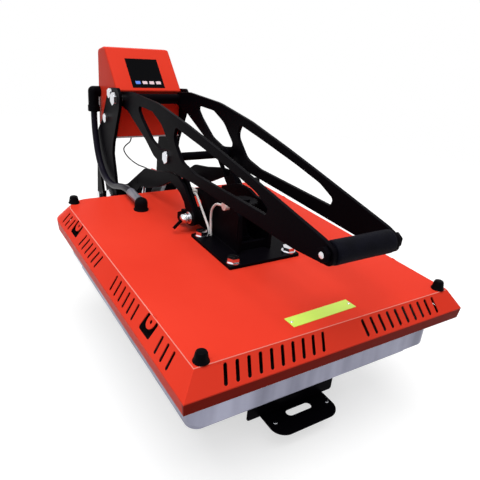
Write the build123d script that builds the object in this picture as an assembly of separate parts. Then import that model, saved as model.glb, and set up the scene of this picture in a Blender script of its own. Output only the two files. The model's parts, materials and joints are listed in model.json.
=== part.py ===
from build123d import *
from math import atan2, cos, degrees, hypot, pi, radians, sin, tan
import os

os.makedirs("parts", exist_ok=True)

# Millimetres. X is across the press, Y runs from the operator to the rear, Z is up.
# The model is laid out from the middle of the cover's top face, and moved at the end
# so that its origin lies on the bench under the middle of the whole machine.

# Heights in the base, and the play between the drawer and what carries it
foot_height = 14.0
rail_height = 40.0
base_plate_thick = 6.0
slide_play = 3.0
rail_play = 1.7

# Upper platen and its cover
platen_width = 400.0
platen_depth = 500.0
platen_thick = 28.0
platen_corner = 22.0
platen_top_z = -67.0
platen_low_z = platen_top_z - platen_thick
cover_sheet = 1.5
cover_overhang = 24.0
cover_slope_width = 19.5
cover_slope_depth = 18.75
cover_slope_drop = 26.0
cover_lip_drop = 17.0
cover_lip_tuck = 1.6
rear_corner = 45.0
rear_corner_top = 42.0
shield_thick = 2.0
shield_inset = 2.0
running_gap = 0.3

# Vents pressed in the slopes of the cover
vent_width = 4.7
vent_lean = 12.0
vent_length = 24.0
front_vent_pitch = 15.07
front_vent_first = 35.0
front_vents = 10
side_vent_pitch = 15.8
side_vent_length = 22.0
side_vent_places = (-203.0, -74.0, 72.0, 193.0)
side_vent_counts = (3, 6, 6, 3)
window_places = (-151.5, 151.0)
window_size = (30.0, 22.0)
window_up = 3.5

# Centre plate, its bolts and the yoke that carries the head
centre_plate_side = 125.0
centre_plate_thick = 5.0
centre_plate_y = -22.0
centre_bolt_offset = 50.0
bolt_radius = 5.0
bolt_head_flats = 17.0
bolt_head_high = 6.5
washer_radius = 11.0
washer_thick = 2.0
post_radius = 9.0
cap_places = (192.3, 244.0, -3.8)
cap_radius = 8.0
cap_height = 13.0
label_size = (105.0, 20.0, 0.8)
label_place = (-11.0, -228.0)
label_turn = 2.0

# Head hinge, lever pivot and the pins of the link, as (Y, Z)
head_hinge = (392.0, -52.0)
lever_pivot = (359.0, 158.0)
link_low_pin = (60.0, 24.0)
link_high_pin = (141.0, 102.0)
arm_rear_bolt = (87.0, 16.0)
arm_cross_tube = (300.0, 10.0)
spring_foot_y = 330.0
spring_foot_up = 10.0
pin_radius = 6.0
high_pin_radius = 7.0
hinge_pin_radius = 8.0
fit_gap = 0.05
hinge_tube_radius = 15.0
cross_tube_radius = 7.0
slot_travel = 33.1
slot_drift = 4.2
slot_gap = 0.6

# Lanes across the machine: inner face and plate thickness
yoke_lane = 24.0
yoke_thick = 6.0
link_lane = 42.0
link_thick = 6.0
arm_lane = 50.0
arm_thick = 5.0
lever_lane = 57.0
lever_thick = 6.0
lever_bend_y = 90.0
lever_narrowing = 10.0
column_lane = 68.5
column_thick = 6.0

# Lever and its grip
grip_axis = (-261.4, 106.3)
grip_tube_radius = 9.0
grip_radius = 14.6
grip_end_gap = 0.5

# Drawer with the lower platen
pad_width = 380.0
pad_depth = 460.0
pad_thick = 8.0
lower_platen_thick = 15.0
carriage_width = 300.0
carriage_depth = 400.0
carriage_thick = 3.0
slide_length = 400.0
slide_front_y = -175.0
slide_height = 40.0
slide_sheet = 1.5
slide_inner_x = 118.0
slide_outer_x = 131.0
slide_gap = 0.5
pull_width = 156.0
pull_inset = 44.0
pull_drop = 65.7
pull_sheet = 2.5
pull_reach = 52.0
pull_half = 57.0
pull_tongue_up = 4.0
pull_slot = (44.0, 13.0)
pull_slot_place = (2.0, -18.0)
pull_screw_places = (-46.0, 48.0)
pull_screw_out = 26.0
pull_screw_radius = 3.2

# Base frame
rail_inner_x = 100.0
rail_outer_x = 140.0
rail_wall = 3.0
rail_front_y = -150.0
rail_rear_y = 504.0
rear_plate_y = 290.0
foot_radius = 20.0
foot_front_y = -115.0
foot_rear_y = 480.0

# Control box
box_floor_z = 77.0
box_floor_thick = 3.0
box_front_y = 374.0
box_rear_y = 487.0
panel_low = (368.0, 172.0)
panel_high = (440.6, 244.2)
box_top_rear_z = 236.0
box_sheet = 1.5
display_width = 68.0
display_long = 70.0
display_up = 42.3
display_thick = 3.0
display_proud = 0.5
icon_size = (10.0, 7.0, 0.4)
icon_pitch = 14.5
icon_first = -21.0
icon_up = 12.0

# Electromagnet that holds the head shut, and its keeper
magnet_radius = 25.0
magnet_height = 35.0
magnet_y = 338.0
keeper_thick = 8.0
keeper_low_z = -62.0

# Gas springs
spring_x = 38.0
spring_body_radius = 9.0
spring_rod_radius = 4.0
spring_body_length = 92.0
spring_eye_thick = 10.0
spring_eye_slack = 2.6

# Hose from the control box to the head, and the limit switch lead
hose_radius = 6.5
hose_x = -82.0
elbow_y = 478.0
elbow_z = 152.0
elbow_radius = 11.0
sleeve_radius = 8.2
boot_place = (-94.0, 174.0)
boot_radius = 11.5
boot_height = 22.0
sleeve_rear_y = 232.0
lead_radius = 1.25

cover_width = platen_width + 2 * cover_overhang
cover_depth = platen_depth + 2 * cover_overhang
lip_top_z = -cover_slope_drop
lip_low_z = lip_top_z - cover_lip_drop
shield_low_z = lip_low_z - shield_thick
pad_top_z = platen_low_z - running_gap
lower_top_z = pad_top_z - pad_thick
lower_low_z = lower_top_z - lower_platen_thick
carriage_low_z = lower_low_z - carriage_thick
slide_top_z = carriage_low_z - slide_play
slide_low_z = slide_top_z - slide_height
rail_top_z = slide_low_z - rail_play
rail_low_z = rail_top_z - rail_height
bench_z = rail_low_z - foot_height
base_top_z = rail_top_z + base_plate_thick
front_y = min(grip_axis[0] - grip_radius, -cover_depth / 2)
middle_y = (front_y + rail_rear_y) / 2
to_bench = Location((0, -middle_y, -bench_z))


def keep(name, *pieces):
    """Moves the pieces of one node to the bench frame and writes them."""
    solids = []
    for piece in pieces:
        solids.extend(piece.solids())
    shape = solids[0] if len(solids) == 1 else Compound(children=solids)
    export_step(shape.moved(to_bench), f"parts/{name}.step")


def block(x_span, y_span, z_span):
    """A square block between two limits on each axis."""
    size = [b - a for a, b in (x_span, y_span, z_span)]
    middle = [(a + b) / 2 for a, b in (x_span, y_span, z_span)]
    return Pos(*middle) * Box(*size)


def bar_x(place, radius, x_from, x_to):
    """A round bar along X at a place given as (Y, Z)."""
    bar = Rot(0, 90, 0) * Cylinder(radius, x_to - x_from)
    return Pos((x_from + x_to) / 2, place[0], place[1]) * bar


def bar_z(x, y, radius, z_from, z_to):
    """A round bar along Z."""
    return Pos(x, y, (z_from + z_to) / 2) * Cylinder(radius, z_to - z_from)


def plate_x(points, x_from, thick, radii):
    """A flat plate in the YZ plane with rounded corners, starting at one X."""
    line = FilletPolyline(*points, radius=radii, close=True)
    return extrude(Plane.YZ.offset(x_from) * make_face(line), thick)


def plate_z(points, z_from, thick, radii):
    """A flat plate in the XY plane with rounded corners, starting at one Z."""
    line = FilletPolyline(*points, radius=radii, close=True)
    return extrude(Plane.XY.offset(z_from) * make_face(line), thick)


def other_side(shape):
    """The same piece on the other side of the machine."""
    return mirror(shape, about=Plane.YZ)


def hexagon_x(place, flats, x_from, x_to):
    """A hexagon head or nut along X."""
    head = extrude(RegularPolygon(flats / 2, 6, major_radius=False), x_to - x_from)
    return Pos(x_from, place[0], place[1]) * Rot(0, 90, 0) * head


def hexagon_z(x, y, flats, z_from, z_to):
    """A hexagon head or nut along Z."""
    head = extrude(RegularPolygon(flats / 2, 6, major_radius=False), z_to - z_from)
    return Pos(x, y, z_from) * head


def tube_along(points, radius):
    """A round tube on straight runs joined by arcs as large as the runs allow."""
    corners = [Vector(*p) for p in points]
    radii = []
    for before, here, after in zip(corners, corners[1:], corners[2:]):
        into = here - before
        out = after - here
        turn = radians(into.get_angle(out))
        radii.append(0.45 * min(into.length, out.length) / tan(turn / 2))
    path = FilletPolyline(*corners, radius=radii)
    start = Plane(origin=path @ 0, z_dir=path % 0)
    tube = sweep(start * Circle(radius), path=path)
    print("radii", [round(r, 1) for r in radii], "length", round(path.length, 1),
          "volume", round(tube.volume / (pi * radius**2 * path.length), 3))
    return tube


# Cover: a folded sheet shell with sloping sides, crisp at the front, rounded at the rear
def cover_outline(width, depth, corner, z):
    """One level of the cover: square front corners, round rear corners."""
    half = width / 2
    rear = depth / 2
    arc_start = rear - corner
    lines = [
        Line((-half, arc_start), (-half, -rear)),
        Line((-half, -rear), (half, -rear)),
        Line((half, -rear), (half, arc_start)),
        JernArc((half, arc_start), (0, 1), corner, 90),
        Line((half - corner, rear), (corner - half, rear)),
        JernArc((corner - half, rear), (-1, 0), corner, 90),
    ]
    return Plane.XY.offset(z) * make_face(lines)


def cover_body(inset, top_z, low_z):
    """The closed form of the cover, drawn in by a sheet's thickness for its hollow."""
    top_width = cover_width - 2 * cover_slope_width
    top_depth = cover_depth - 2 * cover_slope_depth
    top = cover_outline(top_width - 2 * inset, top_depth - 2 * inset, rear_corner_top, top_z)
    lip = cover_outline(cover_width - 2 * inset, cover_depth - 2 * inset, rear_corner, lip_top_z)
    tuck = 2 * cover_lip_tuck
    low = cover_outline(
        cover_width - tuck - 2 * inset, cover_depth - tuck - 2 * inset, rear_corner, low_z
    )
    return loft([top, lip], ruled=True) + loft([lip, low], ruled=True)


cutter_deep = 12.0
slope_mid_z = -cover_slope_drop / 2
front_mid_y = -cover_depth / 2 + cover_slope_depth / 2
side_mid_x = cover_width / 2 - cover_slope_width / 2
front_lean = degrees(atan2(cover_slope_drop, cover_slope_depth))
side_lean = degrees(atan2(cover_slope_drop, cover_slope_width))
window_hole = extrude(RectangleRounded(window_size[1], window_size[0], 3.0), cutter_deep / 2, both=True)
vents = []
front_slot = SlotOverall(vent_length, vent_width, rotation=90 + vent_lean)
front_slot = extrude(front_slot, cutter_deep / 2, both=True)
for count in range(front_vents):
    x = front_vent_first + count * front_vent_pitch
    vent = Pos(x, front_mid_y, slope_mid_z) * Rot(front_lean, 0, 0) * front_slot
    vents.extend([vent, other_side(vent)])
for middle, number in zip(side_vent_places, side_vent_counts):
    lean = vent_lean if middle > 0 else -vent_lean
    side_slot = SlotOverall(side_vent_length, vent_width, rotation=lean)
    side_slot = extrude(side_slot, cutter_deep / 2, both=True)
    for count in range(number):
        y = middle + (count - (number - 1) / 2) * side_vent_pitch
        vent = Pos(side_mid_x, y, slope_mid_z) * Rot(0, side_lean, 0) * side_slot
        vents.extend([vent, other_side(vent)])
for y in window_places:
    window = Pos(side_mid_x, y, slope_mid_z) * Rot(0, side_lean, 0) * Pos(-window_up, 0, 0) * window_hole
    vents.extend([window, other_side(window)])
bolt_places = [
    (x, centre_plate_y + y)
    for x in (-centre_bolt_offset, centre_bolt_offset)
    for y in (-centre_bolt_offset, centre_bolt_offset)
]
hose_hole = bar_z(boot_place[0], boot_place[1], hose_radius, -cover_sheet - 1, 1)
heat_cover = cover_body(0, 0, lip_low_z) - cover_body(cover_sheet, -cover_sheet, lip_low_z - 1)
heat_cover = heat_cover - vents - hose_hole
heat_cover = heat_cover - [bar_z(x, y, bolt_radius + 0.5, -cover_sheet - 1, 1) for x, y in bolt_places]
cap_x, cap_y, cap_seat = cap_places
cap_spots = [(sx * cap_x, cap_seat + sy * cap_y) for sx in (-1, 1) for sy in (-1, 1)]

# A pressed lug with a screw hole hangs from the upper edge of each side window
lug_radius = 9.0
lug_hole = 2.4
lug_top = -window_up - window_size[1] / 2
for y in window_places:
    lug = extrude(Pos(-lug_radius, 0) * Circle(lug_radius), cover_sheet / 2, both=True)
    root = block((lug_top - 0.5, -lug_radius), (-lug_radius, lug_radius), (0, cover_sheet))
    lug = lug + Pos(0, 0, -cover_sheet / 2) * root
    lug = lug - Pos(-lug_radius, 0, 0) * Cylinder(lug_hole, 2 * cover_sheet)
    tab = Pos(side_mid_x, y, slope_mid_z) * Rot(0, side_lean, 0) * Pos(0, 0, -cover_sheet / 2) * lug
    heat_cover = heat_cover + tab + other_side(tab)
keep("heat_cover", heat_cover)

# Caps over the corner screws of the cover
caps = []
for x, y in cap_spots:
    cone = Pos(x, y, 0) * extrude(Circle(cap_radius), cap_height, taper=12)
    caps.append(fillet(cone.edges().sort_by(Axis.Z)[-1], 1.5))
keep("corner_caps", *caps)

# Blank plate on the front of the cover
plate = Pos(label_place[0], label_place[1], label_size[2] / 2) * Rot(0, 0, label_turn) * Box(*label_size)
keep("blank_label", plate)

# Heating platen: cast aluminium with a heating tube let into its top
turn_pitch = 60.0
tube_radius = 4.0
run_half = platen_depth / 2 - 60.0
run_first = -150.0
turns = []
for count in range(6):
    x = run_first + count * turn_pitch
    ends = (-run_half, run_half) if count % 2 == 0 else (run_half, -run_half)
    turns.extend([(x, ends[0]), (x, ends[1])])
tube_line = FilletPolyline(*turns, radius=turn_pitch / 2 - 1)
tube_z = platen_top_z - tube_radius


def heater_form(radius):
    """The winding heating tube at a radius."""
    path = Pos(0, 0, tube_z) * tube_line
    start = Plane(origin=path @ 0, z_dir=path % 0)
    return sweep(start * Circle(radius), path=path)


platen_outline = RectangleRounded(platen_width, platen_depth, platen_corner)
heating_platen = Pos(0, 0, platen_low_z) * extrude(platen_outline, platen_thick)
heater_groove = heater_form(tube_radius + fit_gap)
heating_platen = heating_platen - heater_groove
for x, y in (turns[0], turns[-1]):
    heating_platen = heating_platen - bar_z(x, y, tube_radius, tube_z, platen_top_z + 1)
rim = heating_platen.edges().filter_by_position(Axis.Z, platen_low_z - 0.01, platen_low_z + 0.01)
heating_platen = chamfer(rim, 1.5)
terminals = [bar_z(x, y, tube_radius - 1, tube_z, shield_low_z + 12) for x, y in (turns[0], turns[-1])]
keep("heating_platen", heating_platen)
heating_element = heater_form(tube_radius) + terminals
keep("heating_element", heating_element)

# Insulation blanket and the flanged heat shield that closes the cover
insulation_margin = 2.0
blanket_outline = RectangleRounded(
    platen_width - 2 * insulation_margin, platen_depth - 2 * insulation_margin, platen_corner
)
through = [bar_z(x, y, post_radius + 0.5, platen_top_z - 1, lip_low_z + 1) for x, y in bolt_places]
through.append(bar_z(turns[0][0], turns[0][1], tube_radius, platen_top_z - 1, lip_low_z + 1))
through.append(bar_z(turns[-1][0], turns[-1][1], tube_radius, platen_top_z - 1, lip_low_z + 1))
insulation = Pos(0, 0, platen_top_z) * extrude(blanket_outline, shield_low_z - platen_top_z)
insulation = insulation - through
keep("insulation_blanket", insulation)
shield_outline = cover_outline(
    cover_width - 2 * cover_lip_tuck - 2 * shield_inset,
    cover_depth - 2 * cover_lip_tuck - 2 * shield_inset,
    rear_corner,
    shield_low_z,
)
heat_shield = extrude(shield_outline, shield_thick) - through
keep("heat_shield", heat_shield)

# Posts that carry the platen from the centre plate
posts = []
for x, y in bolt_places:
    post = bar_z(x, y, post_radius, platen_top_z, -cover_sheet)
    posts.append(post - bar_z(x, y, bolt_radius, -32, 0))
keep("platen_posts", *posts)

# Centre plate, bolts and washers
centre_plate = Pos(0, centre_plate_y, 0) * extrude(
    RectangleRounded(centre_plate_side, centre_plate_side, 2.0), centre_plate_thick
)
centre_plate = centre_plate - [bar_z(x, y, bolt_radius, -1, centre_plate_thick + 1) for x, y in bolt_places]
keep("centre_plate", centre_plate)
bolts = []
for x, y in bolt_places:
    washer_top = centre_plate_thick + washer_thick
    shank = bar_z(x, y, bolt_radius, -30, washer_top)
    washer = bar_z(x, y, washer_radius, centre_plate_thick, washer_top)
    head = hexagon_z(x, y, bolt_head_flats, washer_top, washer_top + bolt_head_high)
    bolts.append(shank + washer + head)
keep("centre_bolts", *bolts)

# Yoke welded on the centre plate, with a horn at the rear that carries the terminal block
yoke_front_y = centre_plate_y - 30
yoke_rear_y = arm_rear_bolt[0] + 8
horn_rear_y = yoke_rear_y + 7
yoke_points = [
    (yoke_front_y, centre_plate_thick),
    (yoke_rear_y, centre_plate_thick),
    (yoke_rear_y, 26),
    (74, 36),
    (66, 46),
    (horn_rear_y, 48),
    (horn_rear_y, 58),
    (48, 79),
    (18, 80),
    (-2, 75),
    (-22, 76),
    (yoke_front_y + 5, 64),
    (yoke_front_y, 30),
]
yoke_radii = [2, 4, 4, 4, 6, 3, 4, 12, 14, 12, 10, 8, 10]
yoke_plate = plate_x(yoke_points, yoke_lane, yoke_thick, yoke_radii)
yoke_plate = yoke_plate - bar_x(link_low_pin, pin_radius, 0, 90) - bar_x(arm_rear_bolt, bolt_radius, 0, 90)
yoke_tie = block((-yoke_lane, yoke_lane), (-44, -38), (centre_plate_thick, 18))
yoke_floor = block((-yoke_lane, yoke_lane), (40, 46), (centre_plate_thick, 20))
yoke = yoke_plate + other_side(yoke_plate) + yoke_tie + yoke_floor
keep("head_yoke", yoke)

# Pressure screw and its knurled knob between the yoke plates
screw_y = -12.0
screw_radius = 8.0
knob_radius = 21.0
knob_low = 60.0
knob_high = 74.0
stud = bar_z(0, screw_y, screw_radius, centre_plate_thick, knob_high + 3)
lock_nut = hexagon_z(0, screw_y, 24, centre_plate_thick, centre_plate_thick + 12)
keep("pressure_screw", stud + lock_nut)
knob = bar_z(0, screw_y, knob_radius, knob_low, knob_high)
knob = fillet(knob.edges().filter_by(GeomType.CIRCLE), 1.5)
flutes = []
for count in range(16):
    angle = count * 2 * pi / 16
    flutes.append(
        bar_z(knob_radius * cos(angle), screw_y + knob_radius * sin(angle), 1.8, knob_low - 1, knob_high + 1)
    )
knob = knob - flutes - bar_z(0, screw_y, screw_radius + fit_gap, knob_low - 1, knob_high + 1)
keep("pressure_knob", knob)

# Cross pin of the link with its chrome cap nut, and the rear bolt of the arms
pin_left = -72.0
pin_right = arm_lane + arm_thick
cross_pin = bar_x(link_low_pin, pin_radius, -64, pin_right + 1)
cross_pin = cross_pin + hexagon_x(link_low_pin, 19, pin_right + 1, pin_right + 9)
set_pin_frame = Plane(origin=(-67, link_low_pin[0], link_low_pin[1] + 0.7), z_dir=(-13, 0, -12))
set_pin_radius = 2.6
set_pin = set_pin_frame * Pos(0, 0, 11.5) * Cylinder(set_pin_radius, 23)
set_pin_bore = set_pin_frame * Pos(0, 0, 11.5) * Cylinder(set_pin_radius + fit_gap, 23 + 2 * fit_gap)
nut_flange_x = -arm_lane - arm_thick
nut = bar_x(link_low_pin, 8.0, pin_left, nut_flange_x - 0.5) - bar_x(link_low_pin, pin_radius, -64, 0)
nut = nut + bar_x(link_low_pin, 10.0, nut_flange_x - 3, nut_flange_x)
nut = fillet(nut.edges().sort_by(Axis.X)[0], 3.0)
nut = nut - bar_x(link_low_pin, pin_radius, -64, 0) - set_pin_bore
keep("chrome_cap_nut", nut)
rear_bolt = bar_x(arm_rear_bolt, bolt_radius, -arm_lane - arm_thick, arm_lane + arm_thick)
rear_head = hexagon_x(arm_rear_bolt, bolt_head_flats, arm_lane + arm_thick, arm_lane + arm_thick + 6)
rear_bolt = rear_bolt + rear_head + other_side(rear_head)
keep("arm_pins", cross_pin, set_pin, rear_bolt)
yoke_outer = yoke_lane + yoke_thick
sleeve_spans = (
    (link_low_pin, pin_radius, 3.5, yoke_outer, link_lane - 0.5),
    (link_low_pin, pin_radius, 3.5, link_lane + link_thick + 0.5, arm_lane),
    (arm_rear_bolt, bolt_radius, 2.0, yoke_outer, arm_lane),
)
sleeves = []
for place, hole, wall, from_x, to_x in sleeve_spans:
    sleeve = bar_x(place, hole + wall, from_x, to_x) - bar_x(place, hole, from_x - 1, to_x + 1)
    sleeves.extend([sleeve, other_side(sleeve)])
keep("pin_sleeves", *sleeves)

# Swing arms from the rear hinge over the cover to the yoke
low_y, low_z = link_low_pin
hinge_y, hinge_z = head_hinge
arm_points = [
    (low_y - 14, low_z - 8),
    (low_y - 4, low_z - 14),
    (arm_rear_bolt[0] + 8, 8),
    (arm_rear_bolt[0] + 8, 27),
    (78, 30),
    (86, 42),
    (104, 53),
    (139, 60),
    (188, 34),
    (252, 10),
    (276, 8),
    (332, -42),
    (hinge_y - 6, hinge_z - 20),
    (hinge_y + 20, hinge_z - 10),
    (hinge_y + 16, hinge_z + 18),
    (352, -14),
    (258, 48),
    (208, 58),
    (150, 74),
    (114, 78),
    (90, 70),
    (70, 54),
    (52, 38),
    (low_y - 14, low_z + 6),
]
arm_radii = [6, 6, 4, 4, 3, 10, 16, 16, 60, 12, 30, 40, 12, 12, 12, 60, 30, 60, 30, 16, 14, 20, 8, 6]
arm = plate_x(arm_points, arm_lane, arm_thick, arm_radii)
arm = arm - bar_x(link_low_pin, pin_radius, 40, 70) - bar_x(arm_rear_bolt, bolt_radius, 40, 70)
arm = arm - bar_x(head_hinge, hinge_tube_radius, 40, 70) - bar_x(arm_cross_tube, cross_tube_radius, 40, 70)
keep("swing_arms", arm, other_side(arm))
hinge_tube_half = column_lane - 2.0
hinge_tube = bar_x(head_hinge, hinge_tube_radius, -hinge_tube_half, hinge_tube_half)
hinge_bore = bar_x(head_hinge, hinge_pin_radius + fit_gap, -hinge_tube_half - 1, hinge_tube_half + 1)
hinge_tube = hinge_tube - hinge_bore
tube_half = arm_lane + arm_thick
keep("arm_tubes", hinge_tube, bar_x(arm_cross_tube, cross_tube_radius, -tube_half, tube_half))

# Keeper plate hung from the arms' cross tube over the electromagnet
keeper_top = keeper_low_z + keeper_thick
keeper = bar_z(0, magnet_y, magnet_radius, keeper_low_z, keeper_top)
cross_y, cross_z = arm_cross_tube
hanger_points = [
    (cross_y - 12, cross_z - 12),
    (cross_y - 12, cross_z + 12),
    (cross_y + 10, cross_z + 12),
    (magnet_y + 14, keeper_top + 14),
    (magnet_y + 14, keeper_top),
    (magnet_y - 14, keeper_top),
]
hanger = plate_x(hanger_points, -4, 8, [6, 6, 8, 8, 1, 8]) - bar_x(arm_cross_tube, cross_tube_radius, -20, 20)
keep("magnet_keeper", keeper + hanger)

# Lever plates: an open lattice from the column pivot to the grip
pivot_y, pivot_z = lever_pivot
high_y, high_z = link_high_pin
grip_y, grip_z = grip_axis
lever_points = [
    (pivot_y + 4, pivot_z + 13),
    (311, 180),
    (188, 183),
    (78, 173),
    (-21, 159),
    (-97, 147),
    (-175, 134),
    (-252, 121),
    (grip_y - 12, grip_z + 8),
    (grip_y - 12, grip_z - 12),
    (-205, 88),
    (60, 88),
    (high_y - 6, high_z - 19),
    (high_y + 20, high_z - 19),
    (198, 90),
    (236, 109),
    (324, 141),
    (pivot_y + 4, pivot_z - 13),
    (pivot_y + 13, pivot_z - 2),
]
lever_radii = [11, 60, 200, 200, 200, 200, 200, 40, 9, 9, 120, 60, 16, 12, 20, 60, 40, 10, 8]
opening_long = [
    (110, 160),
    (28, 151),
    (-60, 140),
    (-118, 131),
    (-150, 119),
    (-146, 108),
    (40, 104),
    (84, 110),
    (118, 140),
]
opening_long_radii = [8, 200, 200, 60, 5, 5, 60, 30, 14]
opening_middle = [
    (279, 162),
    (206, 165),
    (166, 152),
    (124, 118),
    (168, 108),
    (208, 116),
    (254, 142),
]
opening_middle_radii = [6, 20, 50, 6, 30, 40, 30]
openings = [
    (opening_long, opening_long_radii),
    (opening_middle, opening_middle_radii),
]

# In front of the link each plate is bent inwards, so that the grip is narrower than the pivot
bar_front_y = grip_y - 40
bar_rear_y = pivot_y + 40
bend_shift = lever_narrowing * (lever_bend_y - bar_front_y) / (lever_bend_y - grip_y)
lever_outer = lever_lane + lever_thick
bent_bar = Polyline(
    (lever_lane, bar_rear_y),
    (lever_lane, lever_bend_y),
    (lever_lane - bend_shift, bar_front_y),
    (lever_outer - bend_shift, bar_front_y),
    (lever_outer, lever_bend_y),
    (lever_outer, bar_rear_y),
    close=True,
)
lever_plate = extrude(Plane.XY * make_face(bent_bar), 300)
cut_from = lever_lane - bend_shift - 1
cut_thick = lever_thick + bend_shift + 2
lever_plate = lever_plate & plate_x(lever_points, cut_from, cut_thick, lever_radii)
for points, radii in openings:
    lever_plate = lever_plate - plate_x(points, cut_from, cut_thick, radii)
lever_plate = lever_plate - bar_x(lever_pivot, 10.0, 50, 70)
lever_plate = lever_plate - bar_x(link_high_pin, high_pin_radius, 50, 70)
lever_plate = lever_plate - bar_x(grip_axis, bolt_radius, 40, 70)
keep("lever_plate_right", lever_plate)
keep("lever_plate_left", other_side(lever_plate))

# Tubes that join the lever plates, and the grip's foam
pivot_tube = bar_x(lever_pivot, 10.0, -lever_outer, lever_outer)
pivot_tube = pivot_tube - bar_x(lever_pivot, pin_radius + fit_gap, -lever_outer - 1, lever_outer + 1)
keep("lever_pivot_tube", pivot_tube)
high_pin = bar_x(link_high_pin, high_pin_radius, -lever_outer, lever_outer)
high_pin = high_pin + hexagon_x(link_high_pin, 19, lever_outer, lever_outer + 4)
high_pin = high_pin + hexagon_x(link_high_pin, 19, -lever_outer - 4, -lever_outer)
keep("link_cross_bar", high_pin)
grip_inner = lever_lane - lever_narrowing - grip_end_gap
grip_outer = lever_lane + lever_thick - lever_narrowing + grip_end_gap
grip_tube = bar_x(grip_axis, grip_tube_radius, -grip_inner, grip_inner)
grip_tube = grip_tube - bar_x(grip_axis, bolt_radius, -grip_inner - 1, grip_inner + 1)
grip_half = grip_inner - grip_end_gap
foam = bar_x(grip_axis, grip_radius, -grip_half, grip_half)
foam = fillet(foam.edges().filter_by(GeomType.CIRCLE), 3.0)
foam = foam - bar_x(grip_axis, grip_tube_radius, -grip_half - 1, grip_half + 1)
keep("foam_grip", foam)
grip_bolt = bar_x(grip_axis, bolt_radius, -grip_outer, grip_outer)
grip_bolt = grip_bolt + hexagon_x(grip_axis, bolt_head_flats, -grip_outer - 6, -grip_outer)
grip_bolt = grip_bolt + hexagon_x(grip_axis, bolt_head_flats, grip_outer, grip_outer + 6)
keep("grip_rod", grip_tube, grip_bolt)

# Links with a slot for the lever's cross bar at their upper end
link_length = hypot(high_y - low_y, high_z - low_z)
link_turn = degrees(atan2(high_z - low_z, high_y - low_y))
link_half_low = 13.0
slot_half = high_pin_radius + slot_drift / 2 + slot_gap
link_half_high = slot_half + 6.0
drift_middle = -slot_drift / 2
slot_from = link_length - slot_travel
low_end = Circle(link_half_low)
high_end = Pos(link_length, drift_middle) * Circle(link_half_high)
slot_end = Pos(slot_from, drift_middle) * Circle(link_half_high)
link_shape = make_hull((low_end + slot_end).edges()) + make_hull((slot_end + high_end).edges())
slot_middle = (slot_from + link_length) / 2
link_slot = Pos(slot_middle, drift_middle) * SlotCenterToCenter(slot_travel + 2 * slot_gap, 2 * slot_half)
link_shape = link_shape - link_slot - Circle(pin_radius + fit_gap)
link_way = (0, cos(radians(link_turn)), sin(radians(link_turn)))
link_frame = Plane(origin=(link_lane, low_y, low_z), x_dir=link_way, z_dir=(1, 0, 0))
link = extrude(link_frame * link_shape, link_thick)
keep("link_plates", link, other_side(link))

# Columns, their hinge pins and ties
column_points = [
    (338, base_top_z),
    (352, -100),
    (362, -36),
    (371, 0),
    (385, 42),
    (380, 66),
    (342, 142),
    (338, 168),
    (352, 180),
    (404, 172),
    (421, 144),
    (450, 98),
    (477, 74),
    (488, 22),
    (497, -93),
    (500, base_top_z),
]
column_radii = [1, 60, 60, 60, 12, 12, 12, 12, 10, 12, 30, 30, 12, 80, 60, 1]
column = plate_x(column_points, column_lane, column_thick, column_radii)
window_low_z = base_top_z + 26.0
column_window = [
    (468, -30),
    (450, -80),
    (438, window_low_z),
    (372, window_low_z),
    (374, window_low_z + 38),
    (410, window_low_z + 52),
    (428, -54),
    (440, -30),
]
column_window_radii = [6, 30, 6, 6, 6, 12, 12, 6]
column = column - plate_x(column_window, column_lane - 1, column_thick + 2, column_window_radii)
column = column - bar_x(lever_pivot, pin_radius + fit_gap, 60, 90)
column = column - bar_x(head_hinge, hinge_pin_radius + fit_gap, 60, 90)
keep("column_right", column)
keep("column_left", other_side(column))
column_outer = column_lane + column_thick
pins = []
for place, radius, flats in ((lever_pivot, pin_radius, 22), (head_hinge, hinge_pin_radius, 26)):
    pin = bar_x(place, radius, -column_outer - 2, column_outer + 2)
    for side in (-1, 1):
        inner, outer = side * column_outer, side * (column_outer + 8)
        pin = pin + hexagon_x(place, flats, min(inner, outer), max(inner, outer))
    pins.append(pin)
collars = []
collar_sizes = (
    (lever_pivot, pin_radius, 9.5, lever_outer),
    (head_hinge, hinge_pin_radius, 14.0, hinge_tube_half),
)
for place, radius, outside, from_x in collar_sizes:
    collar = bar_x(place, outside, from_x + running_gap, column_lane) - bar_x(place, radius + fit_gap, 50, 90)
    collars.extend([collar, other_side(collar)])
keep("hinge_pins", *pins, *collars)
low_tie_z = base_top_z + 14.0
tie_places = ((474, -78), (466, low_tie_z), (358, low_tie_z))
ties = [bar_x(place, 8.0, -column_lane, column_lane) for place in tie_places]
keep("column_ties", *ties)
tie_bolts = []
box_bolts = ((386, 164), (416, 109))
for place in tie_places + box_bolts:
    head = hexagon_x(place, bolt_head_flats, column_outer, column_outer + 6)
    tie_bolts.extend([head, other_side(head)])
keep("column_bolts", *tie_bolts)

# Base frame: two square rails, cross members and the plate under the columns
rail = block((rail_inner_x, rail_outer_x), (rail_front_y, rail_rear_y), (rail_low_z, rail_top_z))
rail = rail - block(
    (rail_inner_x + rail_wall, rail_outer_x - rail_wall),
    (rail_front_y - 1, rail_rear_y + 1),
    (rail_low_z + rail_wall, rail_top_z - rail_wall),
)
members = []
for y in (rail_front_y, 160.0, rail_rear_y - 20.0):
    members.append(block((-rail_inner_x, rail_inner_x), (y, y + 20), (rail_low_z + 2, rail_top_z)))
keep("base_frame", rail, other_side(rail), *members)
rear_plate = block(
    (-rail_outer_x, rail_outer_x), (rear_plate_y, rail_rear_y), (rail_top_z, base_top_z)
)
keep("base_rear_plate", rear_plate)
feet = []
rail_middle = (rail_inner_x + rail_outer_x) / 2
for x in (-rail_middle, rail_middle):
    for y in (foot_front_y, foot_rear_y):
        foot = Pos(x, y, bench_z) * extrude(Circle(foot_radius - 2), foot_height, taper=-6)
        feet.append(foot)
keep("rubber_feet", *feet)

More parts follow.
